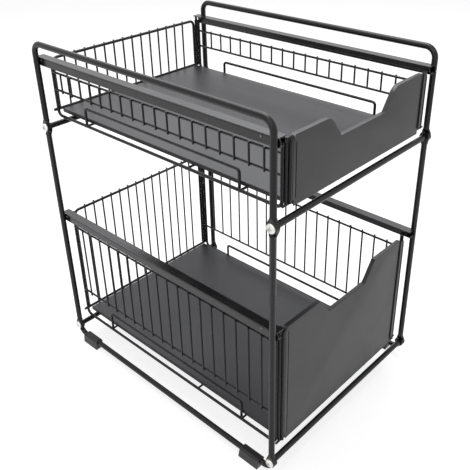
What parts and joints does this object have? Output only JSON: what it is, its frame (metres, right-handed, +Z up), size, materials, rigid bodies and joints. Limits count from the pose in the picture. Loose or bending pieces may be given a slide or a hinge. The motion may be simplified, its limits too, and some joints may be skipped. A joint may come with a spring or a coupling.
{
  "type": "pull out cabinet basket",
  "caption": "Two-tier cabinet organiser: an open frame of bent rod with a shallow basket over a deep one, each with a sheet front, sliding out on side rails.",
  "frame": {"origin": "on the floor, under the centre of the outer box", "axes": "+Z up, the baskets pull out towards -Y, +X to the right seen from the front"},
  "size_m": [0.3282, 0.4362, 0.5055],
  "materials": {
    "frame_coat": "satin powder coat",
    "wire_coat": "satin powder coat",
    "sheet_coat": "satin powder coat",
    "rail_coat": "smooth satin coat",
    "nickel": "nickel plated",
    "foot_plastic": "matte moulded"
  },
  "bodies": {
    "frame": {"upper_side_frame_left": "frame_coat", "upper_side_frame_right": "frame_coat", "lower_post_front_left": "frame_coat", "lower_post_front_right": "frame_coat", "lower_post_back_left": "frame_coat", "lower_post_back_right": "frame_coat", "base_rail_left": "frame_coat", "base_rail_right": "frame_coat", "mid_cross_rod_front": "frame_coat", "mid_cross_rod_back": "frame_coat", "base_cross_rod_front": "frame_coat", "base_cross_rod_back": "frame_coat", "mid_screw_front_left": "nickel", "mid_screw_front_right": "nickel", "mid_screw_back_left": "nickel", "mid_screw_back_right": "nickel", "base_screw_front_left": "nickel", "base_screw_front_right": "nickel", "base_screw_back_left": "nickel", "base_screw_back_right": "nickel", "foot_front_left": "foot_plastic", "foot_front_right": "foot_plastic", "foot_back_left": "foot_plastic", "foot_back_right": "foot_plastic", "upper_rail_left": "rail_coat", "upper_rail_right": "rail_coat", "lower_rail_left": "rail_coat", "lower_rail_right": "rail_coat", "rail_rivets": "nickel"},
    "upper_basket": {"upper_runner_left": "rail_coat", "upper_runner_right": "rail_coat", "upper_side_hoop_left": "wire_coat", "upper_side_hoop_right": "wire_coat", "upper_side_grille_left": "wire_coat", "upper_side_grille_right": "wire_coat", "upper_gallery_left": "wire_coat", "upper_gallery_right": "wire_coat", "upper_back_hoop": "wire_coat", "upper_back_sill": "wire_coat", "upper_front_sill": "wire_coat", "upper_back_wires": "wire_coat", "upper_wire_grid": "wire_coat", "upper_floor": "sheet_coat", "upper_front_panel": "sheet_coat"},
    "lower_basket": {"lower_runner_left": "rail_coat", "lower_runner_right": "rail_coat", "lower_side_hoop_left": "wire_coat", "lower_side_hoop_right": "wire_coat", "lower_side_grille_left": "wire_coat", "lower_side_grille_right": "wire_coat", "lower_gallery_left": "wire_coat", "lower_gallery_right": "wire_coat", "lower_back_hoop": "wire_coat", "lower_back_sill": "wire_coat", "lower_front_sill": "wire_coat", "lower_back_wires": "wire_coat", "lower_wire_grid": "wire_coat", "lower_floor": "sheet_coat", "lower_front_panel": "sheet_coat"}
  },
  "joints": [
    {"name": "upper_slide", "type": "slide", "parent": "frame", "child": "upper_basket", "axis": [0, -1, 0], "range_m": [0, 0.3]},
    {"name": "lower_slide", "type": "slide", "parent": "frame", "child": "lower_basket", "axis": [0, -1, 0], "range_m": [0, 0.3]}
  ]
}
